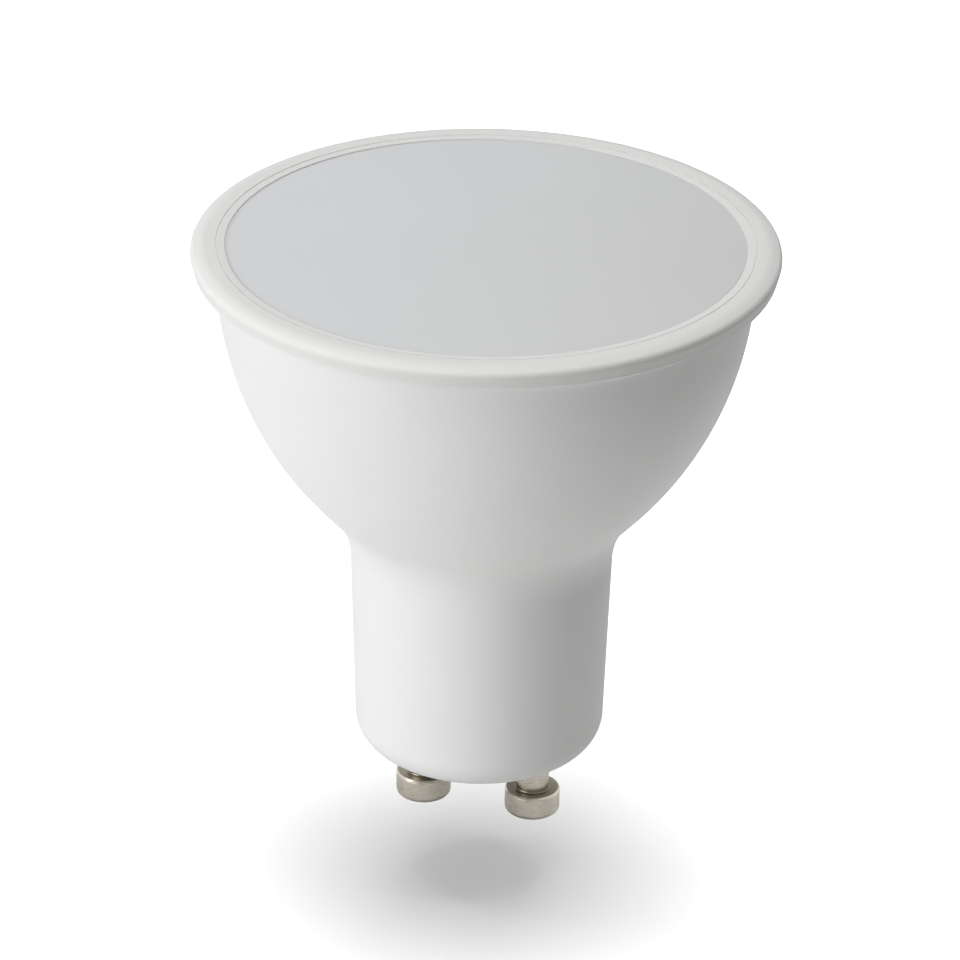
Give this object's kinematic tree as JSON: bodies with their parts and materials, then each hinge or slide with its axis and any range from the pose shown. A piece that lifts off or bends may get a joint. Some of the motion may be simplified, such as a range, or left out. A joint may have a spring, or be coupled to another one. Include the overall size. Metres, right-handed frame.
{
  "type": "spotlight bulb",
  "caption": "Reflector-shaped spotlight bulb with a white moulded cup, a flat milky front cover, and a twist-lock cap with round-headed contact pins.",
  "frame": {"origin": "midway between the ends of the two contact pins, in the plane of those ends", "axes": "+Z along the lamp's axis from the pins out through the front face, +X along the line from pin_left to pin_right, +Y completes a right-handed set"},
  "size_m": [0.05, 0.05, 0.0542],
  "materials": {
    "housing_plastic": "satin white moulding",
    "diffuser_plastic": "milky white, satin",
    "nickel": "nickel plated, slightly warm, turned",
    "liner_aluminium": "pressed sheet, mill finish",
    "silicone_pad": "soft grey-blue sheet",
    "led_board_white": "white solder resist on aluminium",
    "led_body": "white package with a yellow window",
    "screw_steel": "zinc plated",
    "board_laminate": "green laminate",
    "black_moulding": "matt black moulding",
    "can_aluminium": "can in a dark sleeve",
    "film_box": "ochre box",
    "ferrite": "dark grey ceramic",
    "copper_winding": "enamelled copper wire",
    "resistor_body": "painted body with plated caps",
    "sleeve_film": "shrunk black sleeve",
    "wire_red": "insulated wire",
    "wire_black": "insulated wire",
    "wire_blue": "insulated wire"
  },
  "bodies": {
    "root": {"housing": "housing_plastic", "diffuser_cover": "diffuser_plastic", "heat_sink_liner": "liner_aluminium", "thermal_pad": "silicone_pad", "led_board": "led_board_white", "led_packages": "led_body", "board_screws": "screw_steel", "pin_left": "nickel", "pin_right": "nickel", "driver_board": "board_laminate", "input_capacitor": "can_aluminium", "output_capacitor": "can_aluminium", "choke_core": "ferrite", "choke_winding": "copper_winding", "fuse_resistor": "resistor_body", "fuse_sleeve": "sleeve_film", "bridge_rectifier": "black_moulding", "filter_capacitor": "film_box", "driver_chip": "black_moulding", "freewheel_diode": "black_moulding", "sense_resistors": "black_moulding", "neutral_wire": "wire_blue", "led_lead_positive": "wire_red", "led_lead_negative": "wire_black"}
  },
  "joints": []
}
